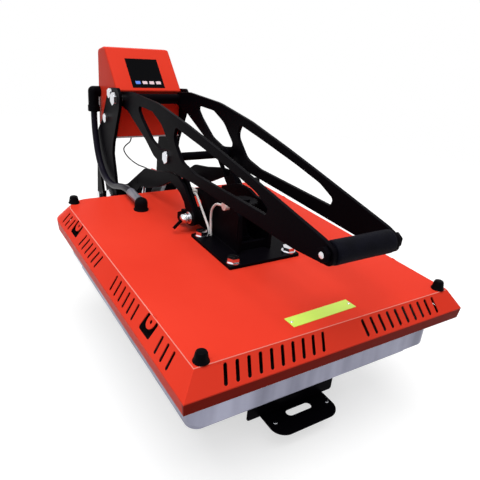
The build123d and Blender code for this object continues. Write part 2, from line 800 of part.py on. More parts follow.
# Electromagnet on its stand, under the keeper
magnet_top = keeper_low_z - running_gap
magnet_low = magnet_top - magnet_height
magnet = bar_z(0, magnet_y, magnet_radius, magnet_low, magnet_top)
coil_ring = bar_z(0, magnet_y, magnet_radius - 5, magnet_top - 1, magnet_top + 1)
coil_ring = coil_ring - bar_z(0, magnet_y, magnet_radius - 14, magnet_top - 2, magnet_top + 2)
magnet = magnet - coil_ring
keep("electromagnet", magnet)
stand_half = 16.0
stand_sheet = 4.0
stand = block((-stand_half, stand_half), (magnet_y - stand_half, magnet_y + 10), (base_top_z, magnet_low))
stand = stand - block(
    (stand_sheet - stand_half, stand_half - stand_sheet),
    (magnet_y - stand_half - 1, magnet_y + 10 - stand_sheet),
    (base_top_z + stand_sheet, magnet_low - stand_sheet),
)

# Gas springs: a cylinder hinged on the base and a rod hooked on the arms' cross tube
spring_foot = (spring_foot_y, base_top_z + spring_foot_up)
foot_y, foot_z = spring_foot
spring_line = Vector(0, cross_y - foot_y, cross_z - foot_z)
spring_length = spring_line.length
spring_frame = Plane(origin=(spring_x, foot_y, foot_z), x_dir=(1, 0, 0), z_dir=spring_line)
neck = 14.0
rod_from = 48.0
eye_radius_low = 9.0
cylinder = bar_z(0, 0, spring_body_radius, neck, neck + spring_body_length)
cylinder = cylinder + bar_z(0, 0, spring_rod_radius + 0.5, eye_radius_low - 2, neck + 1)
cylinder = cylinder + Rot(0, 90, 0) * Cylinder(eye_radius_low, spring_eye_thick)
cylinder = cylinder - bar_z(0, 0, spring_rod_radius + fit_gap, rod_from - 6, neck + spring_body_length + 5)
cylinder = spring_frame * (cylinder - Rot(0, 90, 0) * Cylinder(bolt_radius + fit_gap, 2 * spring_eye_thick))
keep("spring_cylinders", cylinder, other_side(cylinder))
eye_hole = cross_tube_radius + spring_eye_slack
eye_radius = eye_hole + 3.5
rod_middle = (rod_from + spring_length - eye_radius + 2) / 2
rod_length = spring_length - eye_radius + 2 - rod_from
rod = spring_frame * Pos(0, 0, rod_middle) * Cylinder(spring_rod_radius, rod_length)
half_eye = spring_eye_thick / 2
rod = rod + bar_x(arm_cross_tube, eye_radius, spring_x - half_eye, spring_x + half_eye)
rod = rod - bar_x(arm_cross_tube, eye_hole, 20, 60)
keep("spring_rods", rod, other_side(rod))
foot_ears = []
ear_points = [
    (foot_y - 16, base_top_z),
    (foot_y - 9, foot_z + 8),
    (foot_y + 9, foot_z + 8),
    (foot_y + 16, base_top_z),
]
for ear_x in (-spring_eye_thick / 2 - 4.4, spring_eye_thick / 2 + 0.4):
    ear = plate_x(ear_points, spring_x + ear_x, 4.0, [1, 8, 8, 1])
    foot_ears.append(ear)
ear_bolt = bar_x(spring_foot, bolt_radius, spring_x - 12, spring_x + 12)
foot_bracket = foot_ears[0] + foot_ears[1] + ear_bolt
keep("base_brackets", stand, foot_bracket, other_side(foot_bracket))

# Drawer: carriage plate on inner slides, lower platen, silicone pad and pull
pad_corner = 16.0
carriage_corner = 6.0
pad_face = RectangleRounded(pad_width, pad_depth, pad_corner)
keep("silicone_pad", Pos(0, 0, lower_top_z) * extrude(pad_face, pad_thick))
keep("lower_platen", Pos(0, 0, lower_low_z) * extrude(pad_face, lower_platen_thick))
carriage_face = RectangleRounded(carriage_width, carriage_depth, carriage_corner)
carriage = Pos(0, 0, carriage_low_z) * extrude(carriage_face, carriage_thick)
slide_rear_y = slide_front_y + slide_length
flange = block(
    (slide_inner_x - carriage_thick, slide_inner_x),
    (slide_front_y, carriage_depth / 2),
    (slide_low_z + 4, carriage_low_z),
)
carriage = carriage + flange + other_side(flange)
keep("carriage_plate", carriage)


def channel(x_web, x_lip, top_z, low_z):
    """One slide member: a web and two lips that point to x_lip."""
    reach = (min(x_web, x_lip), max(x_web, x_lip))
    step = slide_sheet if x_lip > x_web else -slide_sheet
    web_x = (min(x_web, x_web + step), max(x_web, x_web + step))
    web = block(web_x, (slide_front_y, slide_rear_y), (low_z, top_z))
    top_lip = block(reach, (slide_front_y, slide_rear_y), (top_z - slide_sheet, top_z))
    low_lip = block(reach, (slide_front_y, slide_rear_y), (low_z, low_z + slide_sheet))
    return web + top_lip + low_lip


nest = slide_sheet + slide_gap
outer_slide = channel(slide_outer_x, slide_inner_x + nest, slide_top_z, slide_low_z)
middle_slide = channel(slide_outer_x - nest, slide_inner_x + nest, slide_top_z - nest, slide_low_z + nest)
inner_slide = channel(slide_inner_x, slide_outer_x - 2 * nest, slide_top_z - 2 * nest, slide_low_z + 2 * nest)
slide_angle = block(
    (slide_outer_x, slide_outer_x + rail_wall),
    (slide_front_y + 30, slide_rear_y),
    (rail_top_z, slide_top_z - 4),
)
keep("outer_slides", outer_slide, other_side(outer_slide), slide_angle, other_side(slide_angle))
keep("middle_slides", middle_slide, other_side(middle_slide))
keep("inner_slides", inner_slide, other_side(inner_slide))
pull_low_z = carriage_low_z - pull_drop
pull_y = pull_inset - pad_depth / 2
tab_points = [
    (-pull_width / 2, carriage_low_z),
    (-pull_width / 2, pull_low_z),
    (pull_width / 2, pull_low_z),
    (pull_width / 2, carriage_low_z),
]
tab_line = FilletPolyline(*tab_points, radius=[1, 4, 4, 1], close=True)
pull = extrude(Plane.XZ.offset(-pull_y) * make_face(tab_line), pull_sheet)
pull = pull + block((-pull_width / 2, pull_width / 2), (pull_y - pull_sheet, pull_y + 30),
                    (carriage_low_z - pull_sheet, carriage_low_z))
reach_points = [
    (-pull_half, pull_y),
    (-pull_half, pull_y - pull_reach),
    (pull_half, pull_y - pull_reach),
    (pull_half, pull_y),
]
tongue_top_z = pull_low_z + pull_tongue_up
tongue = plate_z(reach_points, tongue_top_z - pull_sheet, pull_sheet, [1, 22, 22, 1])
slot_cut = extrude(SlotOverall(*pull_slot), 2 * pull_sheet, both=True)
tongue = tongue - Pos(pull_slot_place[0], pull_y + pull_slot_place[1], tongue_top_z) * slot_cut
pull = pull + tongue
keep("drawer_pull", pull)
screws = []
for x in pull_screw_places:
    screw = bar_z(x, pull_y - pull_screw_out, pull_screw_radius, tongue_top_z, tongue_top_z + 2)
    screws.append(fillet(screw.edges().sort_by(Axis.Z)[-1], 0.8))
keep("pull_screws", *screws)

# Control box between the columns: folded shell, floor, display and what it holds
box_points = [
    (box_front_y, box_floor_z + box_floor_thick),
    (box_front_y, panel_low[1] - 6),
    panel_low,
    panel_high,
    (panel_high[0] + 14, panel_high[1]),
    (box_rear_y, box_top_rear_z),
    (box_rear_y, box_floor_z + box_floor_thick),
]
box_radii = [1, 3, 3, 6, 6, 10, 1]
box_line = FilletPolyline(*box_points, radius=box_radii, close=True)
box_face = make_face(box_line)
outer_box = extrude(Plane.YZ.offset(-column_lane) * box_face, 2 * column_lane)
end_faces = outer_box.faces().sort_by(Axis.X)
side_edges = end_faces[0].edges() + end_faces[-1].edges()
upper_edges = side_edges.filter_by(lambda edge: edge.center().Z > panel_low[1] + 6)
outer_box = fillet(upper_edges, 4.0)
hollow_face = offset(box_face, amount=-box_sheet)
hollow_box = extrude(Plane.YZ.offset(box_sheet - column_lane) * hollow_face, 2 * (column_lane - box_sheet))
hollow_box = hollow_box + block(
    (box_sheet - column_lane, column_lane - box_sheet),
    (box_front_y + box_sheet, box_rear_y - box_sheet),
    (box_floor_z, box_floor_z + 10),
)
control_box = outer_box - hollow_box
panel_lean = atan2(panel_high[1] - panel_low[1], panel_high[0] - panel_low[0])
panel_frame = Plane(origin=(0, *panel_low), x_dir=(1, 0, 0), z_dir=(0, -sin(panel_lean), cos(panel_lean)))
display_middle = (display_proud - display_thick) + display_thick / 2
glass = panel_frame * Pos(0, display_up, display_middle) * Box(display_width, display_long, display_thick)
display_hole = Box(display_width, display_long, 4 * display_thick)
control_box = control_box - panel_frame * Pos(0, display_up, 0) * display_hole
inlet_x = (15.0, 43.0)
inlet_z = (94.0, 116.0)
switch_x = (-32.0, -16.0)
switch_z = (95.0, 119.0)
control_box = control_box - block(inlet_x, (box_rear_y - 5, box_rear_y + 5), inlet_z)
control_box = control_box - block(switch_x, (box_rear_y - 5, box_rear_y + 5), switch_z)
keep("control_box", control_box)
floor_plate = block(
    (-column_lane, column_lane), (box_front_y, box_rear_y), (box_floor_z, box_floor_z + box_floor_thick)
)
keep("control_box_floor", floor_plate)
keep("display_glass", glass)
keys = []
for count in range(4):
    x = icon_first + count * icon_pitch
    key_face = extrude(RectangleRounded(icon_size[0], icon_size[1], 1.0), icon_size[2])
    keys.append(panel_frame * Pos(x, display_up - display_long / 2 + icon_up, display_proud) * key_face)
keep("touch_keys", *keys)
board_half = 50.0
board_depth = 70.0
board_thick = 1.6
board_inset = 18.0
board_standoff = 10.0
standoff_radius = 3.0
standoff_inset = 5.0
board_z = box_floor_z + box_floor_thick + board_standoff
board_top_z = board_z + board_thick
board_front_y = box_front_y + board_inset
board_rear_y = board_front_y + board_depth
board = block((-board_half, board_half), (board_front_y, board_rear_y), (board_z, board_top_z))
for x in (standoff_inset - board_half, board_half - standoff_inset):
    for y in (board_front_y + standoff_inset, board_rear_y - standoff_inset):
        board = board + bar_z(x, y, standoff_radius, box_floor_z + box_floor_thick, board_z)
transformer = block((-44, -8), (board_front_y + 8, board_front_y + 40), (board_top_z, board_top_z + 24.4))
relay = block((6, 40), (board_front_y + 12, board_front_y + 38), (board_top_z, board_top_z + 15.4))
connector = block((-30, 30), (board_rear_y - 22, board_rear_y - 10), (board_top_z, board_top_z + 10.4))
board = board + transformer + relay + connector
keep("control_board", board)
flange_out = 2.0
inlet = block((inlet_x[0], inlet_x[1]), (box_rear_y - 20, box_rear_y), inlet_z)
inlet = inlet + block(
    (inlet_x[0] - 2, inlet_x[1] + 2),
    (box_rear_y, box_rear_y + flange_out),
    (inlet_z[0] - 2, inlet_z[1] + 2),
)
inlet = inlet - block(
    (inlet_x[0] + 2, inlet_x[1] - 2),
    (box_rear_y - 14, box_rear_y + flange_out + 1),
    (inlet_z[0] + 2, inlet_z[1] - 2),
)
inlet_middle = ((inlet_x[0] + inlet_x[1]) / 2, (inlet_z[0] + inlet_z[1]) / 2)
for dx, dz in ((-7, -2), (0, 3), (7, -2)):
    x, z = inlet_middle[0] + dx, inlet_middle[1] + dz
    inlet = inlet + block((x - 1, x + 1), (box_rear_y - 15, box_rear_y - 2), (z - 2, z + 2))
switch_frame = block(
    (switch_x[0] - 2, switch_x[1] + 2),
    (box_rear_y, box_rear_y + flange_out),
    (switch_z[0] - 2, switch_z[1] + 2),
)
switch_frame = switch_frame + block(switch_x, (box_rear_y - 14, box_rear_y), switch_z)
switch_frame = switch_frame - block(
    (switch_x[0] + 1, switch_x[1] - 1),
    (box_rear_y - 12, box_rear_y + flange_out + 1),
    (switch_z[0] + 1, switch_z[1] - 1),
)
rocker_pivot = (box_rear_y - 2, (switch_z[0] + switch_z[1]) / 2)
rocker_pin = 1.5
pin_through = bar_x(rocker_pivot, rocker_pin, switch_x[0] + 0.5, switch_x[1] - 0.5)
switch_frame = switch_frame + pin_through
keep("mains_inlet", inlet, switch_frame)
rocker_tilt = 8.0
rocker_points = [(-4, -4), (0, -10), (4.5, -10), (3.0, 0), (4.5, 10), (0, 10), (-4, 4)]
rocker_line = FilletPolyline(*rocker_points, radius=[1, 1, 1, 1, 1, 1, 1], close=True)
rocker_half = (switch_x[1] - switch_x[0]) / 2 - 1 - running_gap
rocker = extrude(Plane.YZ.offset(-rocker_half) * make_face(rocker_line), 2 * rocker_half)
rocker = rocker - Rot(0, 90, 0) * Cylinder(rocker_pin + fit_gap, 40)
rocker = Pos((switch_x[0] + switch_x[1]) / 2, *rocker_pivot) * Rot(rocker_tilt, 0, 0) * rocker
keep("power_rocker", rocker)

# Elbow for the hose on the box's left side
elbow_corner = Vector(hose_x, elbow_y, elbow_z)
hose_start_z = 111.0
elbow = bar_x((elbow_y, elbow_z), elbow_radius, hose_x, -column_lane)
elbow = elbow + bar_z(hose_x, elbow_y, elbow_radius, hose_start_z, elbow_z)
elbow = elbow + Pos(*elbow_corner) * Sphere(elbow_radius)
elbow = elbow + bar_z(hose_x, elbow_y, elbow_radius + 1.2, hose_start_z, hose_start_z + 12)
keep("hose_elbow", elbow)

# Hose down the column and over the cover's rear edge to its boot
hose_route = [
    (hose_x, elbow_y, hose_start_z),
    (hose_x, elbow_y, 86),
    (-82.6, 468, 52),
    (-83.4, 451, 20),
    (-84.2, 422, -5),
    (-85.4, 383, -16),
    (-87, 337, -11),
    (-88.6, 297, 2),
    (-90.4, 258, 12),
    (-91.6, sleeve_rear_y, 12.5),
]
keep("heater_hose", tube_along(hose_route, hose_radius))
sleeve_end = Vector(boot_place[0], boot_place[1] + 6, 13.5)
sleeve_start = Vector(*hose_route[-1])
sleeve_line = sleeve_end - sleeve_start
sleeve_frame = Plane(origin=sleeve_start, z_dir=sleeve_line)
sleeve = extrude(sleeve_frame * Circle(sleeve_radius), sleeve_line.length)
boot = Pos(boot_place[0], boot_place[1], 0) * extrude(Circle(boot_radius), boot_height, taper=6)
boot = fillet(boot.edges().sort_by(Axis.Z)[-1], 5.0)
keep("hose_boot", sleeve + boot)

# Limit switch on the arms' cross tube, and its thin lead from the box's floor
switch_body = block((-30, -14), (cross_y - 6, cross_y + 6), (cross_z, cross_z + 19))
switch_body = switch_body - bar_x(arm_cross_tube, cross_tube_radius, -40, 0)
switch_body = switch_body + bar_z(-22, cross_y, 2.5, cross_z + 19, cross_z + 22)
keep("limit_switch", switch_body)
lead_route = [
    (-33, 388, box_floor_z),
    (-33, 388, 66),
    (-44, 386, 60),
    (-53, 381, 53),
    (-51, 371, 43),
    (-44, 357, 34),
    (-35, 340, 28),
    (-28, 331, 27),
    (-22, 319, 25),
    (-22, cross_y + 6, 25),
]
keep("limit_switch_lead", tube_along(lead_route, lead_radius))

# Ceramic terminal block and cut-out on the yoke, with the two sleeved heater leads
terminal = block((-yoke_outer - 10, -yoke_outer), (horn_rear_y - 16, horn_rear_y + 2), (50, 60))
puck_place = (-13.0, 69.0)
puck_radius = 7.0
puck = bar_x(puck_place, puck_radius, -yoke_outer - 8, -yoke_outer)
keep("terminal_block", terminal, puck)
lead_x = -yoke_outer - 6
lead_sleeve_radius = 1.9
lead_end_z = centre_plate_thick + 2 * running_gap
terminal_front_y = horn_rear_y - 16
first_lead = [
    (lead_x, terminal_front_y, 55),
    (lead_x, terminal_front_y - 8, 55),
    (lead_x, 31, 16),
    (lead_x, 28, lead_end_z),
]
lead_bend = Vector(lead_x, 14, 63)
puck_middle = Vector(lead_x, *puck_place)
puck_way = (lead_bend - puck_middle).normalized()
puck_side = puck_middle + puck_way * (puck_radius + running_gap)
second_lead = [
    (lead_x, 22, lead_end_z),
    (lead_x, 24, 21),
    (lead_x, 26, 36),
    (lead_x, 25, 49),
    tuple(lead_bend),
    tuple(puck_side),
]
keep("heater_leads", tube_along(first_lead, lead_sleeve_radius), tube_along(second_lead, lead_sleeve_radius))
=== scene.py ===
import json
from math import cos, pi, radians, sin

import bmesh
import bpy
from mathutils import Matrix, Vector

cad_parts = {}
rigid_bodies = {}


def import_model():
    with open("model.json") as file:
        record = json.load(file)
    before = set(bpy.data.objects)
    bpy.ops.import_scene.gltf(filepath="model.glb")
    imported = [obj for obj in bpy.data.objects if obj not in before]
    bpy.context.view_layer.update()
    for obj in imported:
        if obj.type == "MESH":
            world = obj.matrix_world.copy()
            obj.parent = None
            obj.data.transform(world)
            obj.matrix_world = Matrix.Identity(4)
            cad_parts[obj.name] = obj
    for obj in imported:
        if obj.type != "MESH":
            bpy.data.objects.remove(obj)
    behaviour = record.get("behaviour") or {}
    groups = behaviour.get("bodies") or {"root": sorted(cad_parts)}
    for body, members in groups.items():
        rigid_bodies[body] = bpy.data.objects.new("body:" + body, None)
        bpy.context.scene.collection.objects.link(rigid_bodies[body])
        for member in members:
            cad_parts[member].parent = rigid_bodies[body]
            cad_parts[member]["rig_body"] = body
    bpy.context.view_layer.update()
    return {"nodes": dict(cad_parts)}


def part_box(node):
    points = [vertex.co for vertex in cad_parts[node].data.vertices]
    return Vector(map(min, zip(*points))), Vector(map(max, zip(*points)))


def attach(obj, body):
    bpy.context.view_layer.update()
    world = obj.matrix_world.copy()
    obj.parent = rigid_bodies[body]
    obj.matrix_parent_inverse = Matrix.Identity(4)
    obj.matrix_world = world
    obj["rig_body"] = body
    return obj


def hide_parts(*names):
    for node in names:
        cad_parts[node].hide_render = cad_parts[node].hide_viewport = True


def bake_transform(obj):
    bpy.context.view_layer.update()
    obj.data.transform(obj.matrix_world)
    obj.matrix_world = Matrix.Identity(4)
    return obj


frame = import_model()

# The view: a short lens close to the press's front left corner, a little above its lever.
# Places are written in millimetres from the middle of the cover's top face: to the right, to
# the rear and up.
cover_low, cover_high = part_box("heat_cover")
cover_middle_y = (cover_low.y + cover_high.y) / 2
cover_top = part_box("centre_plate")[0].z


def spot(x, y, z):
    """A place in the row frame, from millimetres off the middle of the cover's top."""
    return Vector((x / 1000, cover_middle_y + y / 1000, cover_top + z / 1000))


camera_place = spot(-407.1, -624.9, 339.5)
yaw = radians(35.53)
pitch = radians(24.21)
roll = radians(6.28)
ahead = Vector((sin(yaw) * cos(pitch), cos(yaw) * cos(pitch), -sin(pitch)))
level = Vector((cos(yaw), -sin(yaw), 0))
above = level.cross(ahead)
across = level * cos(roll) + above * sin(roll)
upright = above * cos(roll) - level * sin(roll)
camera_data = bpy.data.cameras.new("camera")
camera_data.lens = 38.0
camera_data.sensor_width = 36.0
camera_data.shift_x = -0.0347
camera_data.shift_y = 0.0005
camera = bpy.data.objects.new("camera", camera_data)
turn = Matrix((across, upright, -ahead)).transposed().to_4x4()
camera.matrix_world = Matrix.Translation(camera_place) @ turn
bpy.context.scene.collection.objects.link(camera)
bpy.context.scene.camera = camera
bpy.context.scene.view_settings.view_transform = "Standard"

# The room: a white sky that is brightest overhead, one broad sun, a soft lamp on the left and a
# white paper floor with a faint shadow. The floor fades out towards its rim, so that no line
# shows where it ends.
sky_low = 0.16
sky_high = 0.62
sun_level = 2.15
sun_size = radians(50)
side_level = 4.0
side_size = 1.2
floor_radius = 1.9
fade_radius = 0.8
paper_glow = 0.62


class Wire:
    """An output socket. Sums written with it add the Math nodes that they need."""

    def __init__(self, nodes, socket):
        self.nodes = nodes
        self.socket = socket

    def worked(self, operation, first, second):
        return self.nodes.add("ShaderNodeMath", {"operation": operation}, {0: first, 1: second})

    def __add__(self, other):
        return self.worked("ADD", self, other)

    def __radd__(self, other):
        return self.worked("ADD", other, self)

    def __mul__(self, other):
        return self.worked("MULTIPLY", self, other)

    def __rmul__(self, other):
        return self.worked("MULTIPLY", other, self)

    def __gt__(self, other):
        return self.worked("GREATER_THAN", self, other)

    def __lt__(self, other):
        return self.worked("LESS_THAN", self, other)


class Nodes:
    """The nodes of the sky or of a material."""

    def __init__(self, tree):
        self.tree = tree

    def add(self, kind, settings=None, sockets=None, out=0):
        """Any node: its settings first, then what its sockets hold or are linked to."""
        node = self.tree.nodes.new(kind)
        for key, value in (settings or {}).items():
            setattr(node, key, value)
        for key, value in (sockets or {}).items():
            if isinstance(value, Wire):
                self.tree.links.new(value.socket, node.inputs[key])
            else:
                node.inputs[key].default_value = value
        return Wire(self, node.outputs[out])


class Finish(Nodes):
    """A material with one shader, whose constants are set by the names of its sockets."""

    def __init__(self, name, **constants):
        self.material = bpy.data.materials.new(name)
        self.material.use_nodes = True
        super().__init__(self.material.node_tree)
        self.shader = self.tree.nodes["Principled BSDF"]
        for socket, value in constants.items():
            self.shader.inputs[socket.replace("_", " ")].default_value = value

    def where(self):
        """The surface's own place, in metres in the row frame."""
        return self.add("ShaderNodeTexCoord", out="Object")

    def axis(self, letter):
        """One coordinate of that place."""
        return self.add("ShaderNodeSeparateXYZ", None, {0: self.where()}, out=letter)

    def stretched(self, scale):
        """That place scaled along its axes, which draws a pattern out across them."""
        return self.add("ShaderNodeMapping", None, {"Vector": self.where(), "Scale": scale})

    def noise(self, scale, detail=2.0, vector=None):
        """A cloudy share from 0 to 1."""
        place = self.where() if vector is None else vector
        return self.add(
            "ShaderNodeTexNoise", None, {"Vector": place, "Scale": scale, "Detail": detail}
        )

    def blend(self, share, first, second):
        """A colour between two, by a share from 0 to 1."""
        return self.add(
            "ShaderNodeMix", {"data_type": "RGBA"}, {"Factor": share, 6: first, 7: second}, out=2
        )

    def bump(self, height, distance):
        """Raised detail of a depth in metres."""
        return self.add("ShaderNodeBump", None, {"Height": height, "Distance": distance})

    def feed(self, **links):
        """Links varying values to the shader's sockets."""
        for socket, wire in links.items():
            self.tree.links.new(wire.socket, self.shader.inputs[socket.replace("_", " ")])
        return self.material


def tint(red, green, blue):
    """A colour as it shows on a screen, from 0 to 255 a channel, as shader nodes need it."""
    channels = [c / 255 for c in (red, green, blue)]
    return (*[c / 12.92 if c <= 0.04045 else ((c + 0.055) / 1.055) ** 2.4 for c in channels], 1.0)


def lamp(name, kind, place, target, energy, **settings):
    """A light that looks at a place."""
    data = bpy.data.lights.new(name, kind)
    data.energy = energy
    for key, value in settings.items():
        setattr(data, key, value)
    light = bpy.data.objects.new(name, data)
    aim = (target - place).to_track_quat("-Z", "Y").to_matrix().to_4x4()
    light.matrix_world = Matrix.Translation(place) @ aim
    bpy.context.scene.collection.objects.link(light)


world = bpy.data.worlds.new("sky")
world.use_nodes = True
bpy.context.scene.world = world
sky = Nodes(world.node_tree)
sky_light = world.node_tree.nodes["Background"]
sky_light.inputs["Color"].default_value = (1, 1, 1, 1)
sky_toward = sky.add("ShaderNodeTexCoord", out="Generated")
sky_height = sky.add("ShaderNodeSeparateXYZ", None, {0: sky_toward}, out="Z")
sky_glow = sky.add(
    "ShaderNodeMapRange", None, {"Value": sky_height, "To Min": sky_low, "To Max": sky_high}
)
for ray in ("Is Camera Ray", "Is Glossy Ray", "Is Transmission Ray"):
    sky_glow = sky.add(
        "ShaderNodeMath",
        {"operation": "MAXIMUM"},
        {0: sky.add("ShaderNodeLightPath", out=ray), 1: sky_glow},
    )
world.node_tree.links.new(sky_glow.socket, sky_light.inputs["Strength"])

lamp("sun", "SUN", spot(-260, -200, 1500), spot(0, 0, 0), sun_level, angle=sun_size)
lamp("soft_side", "AREA", spot(-1500, -100, 500), spot(0, 100, 0), side_level, size=side_size)

floor_shape = bmesh.new()
bmesh.ops.create_circle(floor_shape, cap_ends=True, radius=floor_radius, segments=96)
floor_mesh = bpy.data.meshes.new("floor")
floor_shape.to_mesh(floor_mesh)
floor_shape.free()
floor = bpy.data.objects.new("floor", floor_mesh)
bpy.context.scene.collection.objects.link(floor)
paper = Finish("floor_paper", Roughness=0.9, Emission_Strength=paper_glow)
paper_camera = paper.add("ShaderNodeLightPath", out="Is Camera Ray")
paper_ray = paper_camera + paper.add("ShaderNodeLightPath", out="Is Glossy Ray")
paper_far = paper.add(
    "ShaderNodeVectorMath", {"operation": "LENGTH"}, {0: paper.where()}, out="Value"
)
paper_fade = paper.add(
    "ShaderNodeMapRange",
    None,
    {
        "Value": paper_far,
        "From Min": fade_radius,
        "From Max": floor_radius,
        "To Min": 1.0,
        "To Max": 0.0,
    },
)
paper_skin = paper.feed(
    Base_Color=paper.blend(paper_ray, tint(70, 70, 70), tint(180, 180, 180)),
    Emission_Color=paper.blend(paper_ray, (0, 0, 0, 1), (1, 1, 1, 1)),
    Alpha=paper_fade,
)
floor_mesh.materials.append(paper_skin)

# Base: square steel tubes and cross bars welded into a frame, a thick plate across its rear
# end, and brackets for the magnet and the springs, all coated satin black. A file and the paint
# ease their edges, those of the frame least of all.
sharp_angle = 32


def put(name, shape, finishes, ride=None, replaces=()):
    """Puts a finished mesh in the scene, on a body or in the place of CAD nodes."""
    mesh = bpy.data.meshes.new(name)
    shape.to_mesh(mesh)
    shape.free()
    if "custom_normal" in mesh.attributes:
        mesh.attributes.remove(mesh.attributes["custom_normal"])
    for finish in finishes:
        mesh.materials.append(finish)
    mesh.shade_smooth()
    mesh.set_sharp_from_angle(angle=radians(sharp_angle))
    piece = bpy.data.objects.new(name, mesh)
    bpy.context.scene.collection.objects.link(piece)
    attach(piece, ride or frame["nodes"][replaces[0]]["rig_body"])
    if replaces:
        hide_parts(*replaces)
    return piece


def merged(node):
    """A welded copy of a CAD node's mesh, with its flat faces whole again."""
    weld_gap = 2e-6
    flat_angle = radians(0.5)
    shape = bmesh.new()
    shape.from_mesh(frame["nodes"][node].data)
    bmesh.ops.remove_doubles(shape, verts=shape.verts, dist=weld_gap)
    bmesh.ops.dissolve_limit(shape, angle_limit=flat_angle, verts=shape.verts, edges=shape.edges)
    for face in shape.faces:
        face.material_index = 0
    return shape


def eased(node, name, finish, width, segments=2, angle=sharp_angle, second=None, where=None):
    """A CAD node's shape with edges rounded by a width in millimetres, in one or two finishes."""
    shape = merged(node)
    if second:
        for face in shape.faces:
            face.material_index = int(where(face.calc_center_median()))
    piece = put(name, shape, [finish, second] if second else [finish], replaces=[node])
    round_edges = piece.modifiers.new("eased_edges", "BEVEL")
    round_edges.width = width / 1000
    round_edges.segments = segments
    round_edges.limit_method = "ANGLE"
    round_edges.angle_limit = radians(angle)
    round_edges.use_clamp_overlap = False
    round_edges.harden_normals = True
    return piece


def surface(
    name, dark, light, rough, spread=0.08, patch=14.0, peel=700.0, peel_deep=0.00003, **constants
):
    """A finish that drifts between two colours, with a fine grain and uneven gloss."""
    finish = Finish(name, **constants)
    finish.feed(
        Base_Color=finish.blend(finish.noise(patch, 3.0), dark, light),
        Roughness=rough - spread / 2 + spread * finish.noise(patch * 4, 4.0),
        Normal=finish.bump(finish.noise(peel, 2.0), peel_deep),
    )
    return finish.material


black_coat = surface(
    "black_paint.frame", tint(5, 4, 7), tint(11, 9, 14), 0.38, patch=18.0, peel=600.0,
    peel_deep=0.00004, Specular_IOR_Level=0.012,
)
eased("base_frame", "rail_frame", black_coat, 0.1)
eased("base_rear_plate", "rear_plate", black_coat, 1.0)
eased("base_brackets", "stand_brackets", black_coat, 0.5)

# Feet: four moulded cups of black rubber, each with four ribs round it, screwed up into the
# undersides of the rails near their ends.
foot_aside = 120
foot_front = -115
foot_rear = 480
rib_from = 3.0
rib_pitch = 2.4


def turned(profile, place, axis=(0, 0, 1), steps=48):
    """A round form spun from (radius, height) pairs in millimetres, standing at a place."""
    weld_gap = 1e-6
    shape = bmesh.new()
    ring = [shape.verts.new((radius / 1000, 0, height / 1000)) for radius, height in profile]
    line = [shape.edges.new(pair) for pair in zip(ring, ring[1:])]
    bmesh.ops.spin(
        shape, geom=ring + line, cent=(0, 0, 0), axis=(0, 0, 1), angle=2 * pi, steps=steps,
        use_merge=True,
    )
    bmesh.ops.remove_doubles(shape, verts=shape.verts, dist=weld_gap)
    bmesh.ops.recalc_face_normals(shape, faces=shape.faces)
    stand = Matrix.Translation(place) @ Vector(axis).to_track_quat("Z", "Y").to_matrix().to_4x4()
    bmesh.ops.transform(shape, matrix=stand, verts=shape.verts)
    return shape


def together(shapes):
    """Several shapes as one."""
    whole = bmesh.new()
    for shape in shapes:
        part = bpy.data.meshes.new("part")
        shape.to_mesh(part)
        shape.free()
        whole.from_mesh(part)
        bpy.data.meshes.remove(part)
    return whole


rubber = surface(
    "black_rubber.moulded", tint(9, 8, 10), tint(17, 15, 19), 0.62, peel=1100.0,
    peel_deep=0.00006, Specular_IOR_Level=0.02,
)
foot_profile = [(0, 0), (17.0, 0), (18.6, 0.8), (19.0, 2.0)]
for rib in range(4):
    at = rib_from + rib * rib_pitch
    foot_profile += [(18.4, at), (19.6, at + 0.9), (18.9, at + 1.8)]
foot_profile += [(19.2, 13.2), (18.2, 14.0), (0, 14.0)]
floor_z = -cover_top * 1000
feet = [
    turned(foot_profile, spot(x, y, floor_z))
    for x in (-foot_aside, foot_aside)
    for y in (foot_front, foot_rear)
]
put("foot_cups", together(feet), [rubber], replaces=["rubber_feet"])

# Columns: two laser-cut steel plates that stand on the rear plate, with ties bolted between
# them. Plates and ties are coated satin black; the hexagon bolts, and the pins that the head and
# the lever turn on, are bright plated.
chrome = surface(
    "bright_steel.polished", tint(206, 207, 212), tint(226, 227, 231), 0.17, patch=40.0,
    peel=900.0, peel_deep=0.00001, Metallic=1.0,
)
eased("column_left", "column_plate_left", black_coat, 0.8)
eased("column_right", "column_plate_right", black_coat, 0.8)
eased("column_ties", "column_tie_bars", black_coat, 0.4)
eased("column_bolts", "column_bolt_heads", chrome, 0.7)
eased("hinge_pins", "pivot_pins", chrome, 0.7)

# Magnet and springs: a round electromagnet under a keeper plate, both zinc plated, and two gas
# springs with black painted cylinders and polished rods, hinged on the base and hooked on the
# arms.
zinc = surface(
    "plated_steel.zinc", tint(150, 152, 160), tint(190, 191, 196), 0.36, patch=60.0, peel=500.0,
    peel_deep=0.00002, Metallic=1.0,
)
eased("electromagnet", "holding_magnet", zinc, 0.8)
eased("magnet_keeper", "keeper_plate", zinc, 0.8)
eased("spring_cylinders", "spring_tubes", black_coat, 0.8)
eased("spring_rods", "spring_piston_rods", chrome, 0.5)

# Drawer: a folded and painted carriage runs on three-part slides of rolled, zinc plated steel.
# The pull is bent from painted sheet, with bright screws through its tongue.


def coated(node, finish):
    """Gives a CAD node, which keeps its own mesh, its finish."""
    frame["nodes"][node].data.materials.clear()
    frame["nodes"][node].data.materials.append(finish)


for node in ("outer_slides", "middle_slides", "inner_slides"):
    coated(node, zinc)
eased("carriage_plate", "carriage", black_coat, 0.5)
eased("drawer_pull", "pull_plate", black_coat, 0.7)
eased("pull_screws", "pull_screw_heads", chrome, 0.3)

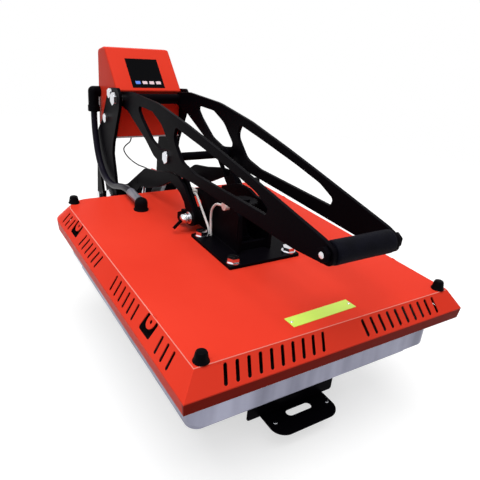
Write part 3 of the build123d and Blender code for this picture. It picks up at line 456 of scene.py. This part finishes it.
# Lower platen: cast aluminium with a milled face, whose cutter marks run across it. A sheet of
# red silicone sponge lies loose on top.
platen = Finish("cast_platen.machined", Metallic=0.85)
platen_lines = platen.noise(9.0, 5.0, platen.stretched((6.0, 260.0, 60.0)))
# Painted sheen: the base colour drifts between darker and lighter metal in soft upright bands.
platen_painted_sheen = platen.add(
    "ShaderNodeMapRange",
    None,
    {
        "Value": platen.noise(22.0, 3.0, platen.stretched((1.0, 1.0, 0.15))),
        "From Min": 0.25,
        "From Max": 0.75,
    },
)
platen_skin = platen.feed(
    Base_Color=platen.blend(platen_painted_sheen, tint(108, 108, 124), tint(166, 167, 186)),
    Roughness=0.34 + 0.16 * platen_lines,
    Normal=platen.bump(platen_lines, 0.00006),
)
eased("lower_platen", "drawer_platen", platen_skin, 0.8)
sponge = surface(
    "red_silicone.sponge", tint(150, 44, 30), tint(168, 56, 40), 0.7, patch=30.0, peel=1400.0,
    peel_deep=0.0002,
)
pad = eased("silicone_pad", "sponge_pad", sponge, 2.4, segments=4)

# Heating platen: cast aluminium with a tube heater let into its top, hung from the centre
# plate on posts. A felt blanket and a flanged steel shield, dull and dark but for a highlight
# painted along its rim, lie between it and the cover.
felt = surface(
    "felt.blanket", tint(186, 180, 166), tint(214, 208, 194), 0.95, patch=60.0, peel=900.0,
    peel_deep=0.0004,
)
eased("heating_platen", "upper_platen", platen_skin, 0.5)
rim_aside = 0.2196
rim_width = 0.0045
shield = Finish("plated_steel.shield", Metallic=0.4)
shield_aside = shield.add("ShaderNodeMath", {"operation": "ABSOLUTE"}, {0: shield.axis("X")})
shield_back = shield.axis("Y")
# Painted highlight: the shield's rim gets a near-white colour so that it shows as a bright line.
shield_painted_rim_highlight = (
    (shield_aside > rim_aside)
    + (shield_back < cover_low.y + rim_width)
    + (shield_back > cover_high.y - rim_width)
)
shield_dull = shield.blend(shield.noise(30.0), tint(44, 44, 50), tint(60, 60, 66))
shield_skin = shield.feed(
    Base_Color=shield.blend(shield_painted_rim_highlight, shield_dull, tint(236, 236, 242)),
    Roughness=0.4 + 0.1 * shield.noise(80.0),
)
coated("heating_element", zinc)
coated("insulation_blanket", felt)
coated("heat_shield", shield_skin)
coated("platen_posts", zinc)

# Cover: one sheet of steel with its vents and windows punched, then folded, welded at the
# corners and powder coated in gloss red. A thin highlight is painted along the folds, and the
# lip along the front, which the slope keeps in shade, has that shade painted into its colour.
lip_top = 0.0275
lip_low = 0.06
lip_deep = 0.004
lip_shade_share = 0.75
fold_top = 0.00003
fold_low = 0.0008
fold_highlight_share = 0.45
red = Finish("red_paint.cover", Specular_IOR_Level=0.02)
red_up = red.axis("Z")
# Painted shade: the front lip's colour is darkened where the slope shades it.
red_lip_painted_shade = (
    (red_up < cover_top - lip_top)
    * (red_up > cover_top - lip_low)
    * (red.axis("Y") < cover_low.y + lip_deep)
)
# Painted highlight: a thin near-white band in the colour just below the top's folds.
red_fold_painted_highlight = (red_up < cover_top - fold_top) * (red_up > cover_top - fold_low)
red_top = red.blend(red.noise(6.0, 3.0), tint(222, 53, 35), tint(238, 68, 48))
red_with_painted_fold_highlight = red.blend(fold_highlight_share * red_fold_painted_highlight, red_top, tint(255, 200, 186))
red_coat = red.feed(
    Base_Color=red.blend(lip_shade_share * red_lip_painted_shade, red_with_painted_fold_highlight, tint(106, 14, 4)),
    Roughness=0.3 + 0.1 * red.noise(24.0, 4.0),
    Normal=red.bump(red.noise(420.0), 0.00005),
)
eased("heat_cover", "cover_shell", red_coat, 0.55, segments=3, angle=25)

# Corner caps: moulded black plastic push-fits over the cover's four corner screws, flared at
# the foot and rounded at the top.
black_mould = surface(
    "black_plastic.moulded", tint(5, 4, 7), tint(11, 10, 13), 0.36, peel=1500.0,
    Specular_IOR_Level=0.02,
)
cap_aside = 192.3
cap_middle = -3.8
cap_ahead = 244.0
cap_profile = [
    (0, 0.1), (9.2, 0.1), (9.5, 0.8), (9.1, 1.6), (8.4, 2.6), (7.6, 7.0), (6.9, 10.8),
    (6.0, 12.4), (4.8, 13.0), (0, 13.0),
]
caps = [
    turned(cap_profile, spot(x * cap_aside, cap_middle + y * cap_ahead, 0))
    for x in (-1, 1)
    for y in (-1, 1)
]
put("corner_cap_set", together(caps), [black_mould], replaces=["corner_caps"])

# Yellow plate: a thin enamelled sheet on the front of the cover, held by two small domed
# rivets. It lies a little askew, so the rivets do too.
plate_yellow = surface(
    "yellow_plate.enamel", tint(204, 240, 84), tint(222, 250, 104), 0.35, patch=30.0
)
eased("blank_label", "yellow_plate", plate_yellow, 0.3)
rivet_aside = 0.0485
rivet_askew = 0.0017
rivet_profile = [(0, -0.3), (1.9, -0.3), (1.8, 0.3), (1.2, 0.8), (0, 1.0)]
plate_low, plate_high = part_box("blank_label")
plate_middle = (plate_low + plate_high) / 2
rivets = []
for side in (-1, 1):
    rivet_x = plate_middle.x + side * rivet_aside
    rivet_y = plate_middle.y + side * rivet_askew
    rivets.append(turned(rivet_profile, Vector((rivet_x, rivet_y, plate_high.z)), steps=20))
put("plate_rivets", together(rivets), [chrome], ride="head")

# Centre plate and yoke: steel plates welded to each other and painted satin black, with four
# bright bolts down through the cover. The pressure screw and its ribbed plastic knob stand
# between the yoke's plates.
eased("centre_plate", "centre_plate_coated", black_coat, 0.8)
coated("centre_bolts", chrome)
eased("head_yoke", "yoke_plates", black_coat, 0.7)
coated("pressure_screw", black_coat)
eased("pressure_knob", "knurled_knob", black_mould, 0.4)

# Welds of the yoke: fillets along the feet of its plates and thin ones up their front edges,
# laid by hand as rippled beads and painted over.
weld_aside = 30.2
foot_weld_up = 5.2
front_weld_y = -46
ripple_long = 0.9
ripple_mean = 0.92
ripple_swing = 0.12
ripple_turn = 2.3


def bead(start, end, radius):
    """A rippled weld bead between two places."""
    long = (end - start).length * 1000
    count = max(4, round(long / ripple_long))
    line = [(0, 0)]
    for step in range(1, count):
        swell = ripple_mean + ripple_swing * sin(step * ripple_turn)
        line.append((radius * swell, long * step / count))
    line.append((0, long))
    return turned(line, start, end - start, 12)


beads = []
for x in (-weld_aside, weld_aside):
    beads.append(bead(spot(x, -50, foot_weld_up), spot(x, 92, foot_weld_up), 2.0))
    beads.append(bead(spot(x, front_weld_y, 18), spot(x, front_weld_y, 60), 0.8))
put("yoke_welds", together(beads), [black_coat], ride="head")

# Terminal block and cut-out on the yoke, of white glazed ceramic. The two heater leads that are
# clamped in it are sleeved in woven glass.
glazed = surface(
    "ceramic.glazed", tint(228, 220, 216), tint(244, 238, 234), 0.22, patch=60.0, Coat_Weight=0.4
)
eased("terminal_block", "ceramic_terminals", glazed, 0.6)
weave = Finish("sleeving.woven", Roughness=0.8)
weave_rings = weave.add(
    "ShaderNodeTexWave",
    {"bands_direction": "Z"},
    {"Vector": weave.where(), "Scale": 400.0, "Distortion": 2.0},
)
weave_skin = weave.feed(
    Base_Color=weave.blend(weave_rings, tint(240, 236, 234), tint(254, 252, 252)),
    Normal=weave.bump(weave_rings, 0.0002),
)
eased("heater_leads", "lead_sleeves", weave_skin, 0.1)

# Swing arms: two laser-cut plates with tubes between them, painted satin black, that carry the
# yoke from the rear hinge. Black pins and sleeves join them to the yoke.
eased("swing_arms", "arm_plates", black_coat, 0.7)
eased("arm_tubes", "arm_cross_tubes", black_coat, 0.5)
coated("arm_pins", black_coat)
coated("pin_sleeves", black_coat)

# Cap nut of the cross pin: turned and chromed, with a domed end, a waist, and a flange ground
# to two bright rings. The black set pin through it is part of the pins.
nut_low, nut_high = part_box("chrome_cap_nut")
nut_middle = (nut_low + nut_high) / 2
nut_start = Vector((nut_low.x, nut_middle.y, nut_middle.z))
nut_long = (nut_high.x - nut_low.x) * 1000
nut_profile = [
    (0, 0), (3.0, 0.2), (5.4, 1.1), (7.1, 2.8), (7.9, 5.0), (8.0, 7.0), (7.3, 7.6), (7.3, 8.6),
    (8.0, 9.2), (8.0, nut_long - 5.2), (6.9, nut_long - 4.8), (6.9, nut_long - 4.0),
    (9.6, nut_long - 3.6), (10.0, nut_long - 3.0), (10.0, nut_long - 0.6), (9.5, nut_long),
    (0, nut_long),
]
put("cap_nut", turned(nut_profile, nut_start, (1, 0, 0)), [chrome], replaces=["chrome_cap_nut"])

# Limit switch: a moulded red case that stands on the arms' cross tube and tells the box that
# the head is down.
switch_red = surface("black_plastic.red_case", tint(190, 36, 40), tint(206, 50, 52), 0.4)
eased("limit_switch", "switch_case", switch_red, 0.5)

# Lever: two laser-cut lattice plates on a pivot tube, with slotted links down to the head, all
# painted satin black. The bar through the links' slots has bright plated ends.
bar_end_from = 0.0631
eased("lever_plate_left", "lever_left", black_coat, 0.8)
eased("lever_plate_right", "lever_right", black_coat, 0.8)
coated("lever_pivot_tube", black_coat)
eased("link_plates", "link_pair", black_coat, 0.6)
eased(
    "link_cross_bar", "cross_bar", black_coat, 0.6, second=chrome,
    where=lambda at: abs(at.x) > bar_end_from,
)

# Grip: a sleeve of matt closed-cell foam pushed over the rod between the lever's front ends,
# with rounded ends of its own and a slight waist.
foam = Finish("foam.sleeve", Roughness=0.6, Specular_IOR_Level=0.03)
foam_cells = foam.add("ShaderNodeTexVoronoi", None, {"Vector": foam.where(), "Scale": 900.0})
foam_skin = foam.feed(
    Base_Color=foam.blend(foam.noise(60.0, 3.0), tint(7, 7, 10), tint(18, 18, 28)),
    Normal=foam.bump(foam_cells, 0.00025),
)
grip_low, grip_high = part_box("foam_grip")
grip_long = (grip_high.x - grip_low.x) * 1000
grip_radius = (grip_high.z - grip_low.z) * 1000 / 2
grip_bore = 9.2
grip_end_long = 3.4
grip_waist = 0.25
waist_steps = 12
grip_end = [
    (grip_bore, 0), (grip_radius - 3.0, 0), (grip_radius - 1.2, 0.5), (grip_radius - 0.3, 1.6),
    (grip_radius, grip_end_long),
]
grip_profile = grip_end[:]
for count in range(1, waist_steps):
    share = count / waist_steps
    radius = grip_radius - grip_waist * sin(pi * share)
    at = grip_end_long + (grip_long - 2 * grip_end_long) * share
    grip_profile.append((radius, at))
grip_profile += [(radius, grip_long - at) for radius, at in reversed(grip_end)]
grip_profile.append((grip_bore, 0))
grip_middle = (grip_low + grip_high) / 2
grip_start = Vector((grip_low.x, grip_middle.y, grip_middle.z))
grip_shape = turned(grip_profile, grip_start, (1, 0, 0))
grip = put("grip_foam", grip_shape, [foam_skin], replaces=["foam_grip"])

# Bolt of the grip: a black hexagon on each side of the lever, out of which stands the bolt's
# bright tip.
eased("grip_rod", "grip_bolt", black_coat, 0.6)
bolt_low, bolt_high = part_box("grip_rod")
tip_profile = [(0, -0.5), (4.2, -0.5), (4.2, 0.5), (3.6, 1.1), (0, 1.2)]
tips = [
    turned(tip_profile, Vector((x, grip_middle.y, grip_middle.z)), (way, 0, 0), 24)
    for x, way in ((bolt_low.x, -1), (bolt_high.x, 1))
]
put("grip_bolt_ends", together(tips), [chrome], ride="lever")

# Control box: a folded shell with a sloping front, powder coated like the cover, over a light
# grey floor plate. It holds the green circuit board, and a moulded mains inlet and rocker are
# snapped into its rear, a moulded elbow for the hose into its left side.
grey_coat = surface("grey_paint.floor", tint(176, 178, 182), tint(192, 194, 196), 0.45)
board_green = surface(
    "board_green.resin", tint(14, 74, 36), tint(24, 96, 48), 0.4, patch=120.0
)
eased("control_box", "box_shell", red_coat, 0.5, segments=3, angle=25)
eased("control_box_floor", "box_floor", grey_coat, 0.5)
coated("control_board", board_green)
eased("mains_inlet", "inlet_and_switch_frame", black_mould, 0.3)
eased("power_rocker", "rocker", black_mould, 0.4)
eased("hose_elbow", "elbow", black_mould, 1.0)

# Touch panel: black glass glued in the box's slope, with four keys that shine through it, the
# first one blue.
key_pitch = 0.012
glass = surface(
    "display.glass", tint(4, 4, 6), tint(8, 8, 11), 0.06, spread=0.02, peel=20.0,
    peel_deep=0.00001, Specular_IOR_Level=0.03,
)
eased("display_glass", "display_panel", glass, 0.4)
lit_blue = surface("key_print.blue", tint(70, 120, 235), tint(92, 140, 245), 0.4)
lit_white = surface("key_print.white", tint(228, 196, 206), tint(240, 214, 220), 0.4)
first_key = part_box("touch_keys")[0].x + key_pitch
eased("touch_keys", "key_marks", lit_white, 0.1, second=lit_blue, where=lambda at: at.x < first_key)

# Hose: a smooth black conduit for the heater's wires, from the elbow on the box down and over
# the cover's rear edge. It is fixed at both ends.
hose_radius = 6.5


def cord_points(route):
    """A smooth open line on the route's points, and the points that it runs through."""
    line = bpy.data.curves.new("route", "CURVE")
    line.dimensions = "3D"
    line.resolution_u = 12
    spline = line.splines.new("NURBS")
    spline.points.add(len(route) - 1)
    for point, place in zip(spline.points, route):
        point.co = (*place, 1.0)
    spline.order_u = 3
    spline.use_endpoint_u = True
    holder = bpy.data.objects.new("route", line)
    bpy.context.scene.collection.objects.link(holder)
    bpy.context.view_layer.update()
    track = bpy.data.meshes.new_from_object(holder)
    path = [v.co.copy() for v in track.vertices]
    bpy.data.meshes.remove(track)
    return holder, path


def cord_piece(name, route, radius, finish, node):
    """A round cord as one closed mesh that stands for its CAD tube."""
    holder, path = cord_points(route)
    holder.data.bevel_depth = radius
    holder.data.bevel_resolution = 6
    holder.data.use_fill_caps = True
    bpy.context.view_layer.update()
    mesh = bpy.data.meshes.new_from_object(holder)
    bpy.data.objects.remove(holder)
    mesh.name = name
    mesh.materials.clear()
    mesh.materials.append(finish)
    mesh.shade_smooth()
    piece = bpy.data.objects.new(name, mesh)
    bpy.context.scene.collection.objects.link(piece)
    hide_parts(node)
    return piece, path


conduit = Finish("conduit_skin", Roughness=0.3, Specular_IOR_Level=0.05)
conduit_skin = conduit.feed(
    Base_Color=conduit.blend(conduit.noise(40.0), tint(14, 12, 20), tint(30, 27, 42)),
    Normal=conduit.bump(conduit.noise(900.0, 1.0), 0.00008),
)
hose_route = [
    spot(-82, 478, 111),
    spot(-82, 478, 86),
    spot(-82.6, 468, 52),
    spot(-83.4, 451, 20),
    spot(-84.2, 422, -5),
    spot(-85.4, 383, -16),
    spot(-87, 337, -11),
    spot(-88.6, 297, 2),
    spot(-90.4, 258, 12),
    spot(-91.6, 232, 12.5),
]
hose, hose_path = cord_piece(
    "heater_conduit", hose_route, hose_radius / 1000, conduit_skin, "heater_hose"
)
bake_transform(hose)

# Boot and sleeve of the hose: a moulded rubber gland on the cover, and a grey rubber sleeve
# over the last stretch of the conduit, with a thicker ring at each end.
boot_place = spot(-94, 174, 0)
boot_profile = [
    (0, 0.2), (12.9, 0.2), (13.1, 1.4), (12.5, 2.2), (11.6, 2.8), (11.3, 4.5), (11.2, 12),
    (10.6, 16), (9.0, 19.2), (6.4, 21.2), (3.0, 21.9), (0, 22.0),
]
put("hose_gland", turned(boot_profile, boot_place), [rubber], replaces=["hose_boot"])
sleeve_grey = surface(
    "grey_rubber.sleeve", tint(92, 92, 104), tint(118, 118, 130), 0.3, patch=50.0
)
sleeve_from = hose_route[-1]
sleeve_to = spot(-94, 180, 13.5)
sleeve_long = (sleeve_to - sleeve_from).length * 1000
sleeve_profile = [
    (0, 0), (6.6, 0), (8.2, 0.6), (8.4, 2.0), (8.4, 4.0), (7.8, 4.6), (7.8, sleeve_long - 6),
    (8.4, sleeve_long - 5), (8.4, sleeve_long), (0, sleeve_long),
]
sleeve = turned(sleeve_profile, sleeve_from, sleeve_to - sleeve_from)
put("hose_sleeve", sleeve, [sleeve_grey], ride="head")

# Switch lead: a thin round wire with soft plastic insulation, from the box's floor to the limit
# switch. It hangs in a loop.
lead_wire = Finish("lead_insulation", Roughness=0.45, Specular_IOR_Level=0.15)
lead_skin = lead_wire.feed(
    Base_Color=lead_wire.blend(lead_wire.noise(80.0), tint(14, 13, 16), tint(30, 28, 32))
)
lead_radius = 1.25
lead_route = [
    spot(-33, 388, 77),
    spot(-33, 388, 66),
    spot(-44, 386, 60),
    spot(-53, 381, 53),
    spot(-51, 371, 43),
    spot(-44, 357, 34),
    spot(-35, 340, 28),
    spot(-28, 331, 27),
    spot(-22, 319, 25),
    spot(-22, 306, 25),
]
lead, lead_path = cord_piece(
    "switch_wire", lead_route, lead_radius / 1000, lead_skin, "limit_switch_lead"
)
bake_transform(lead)
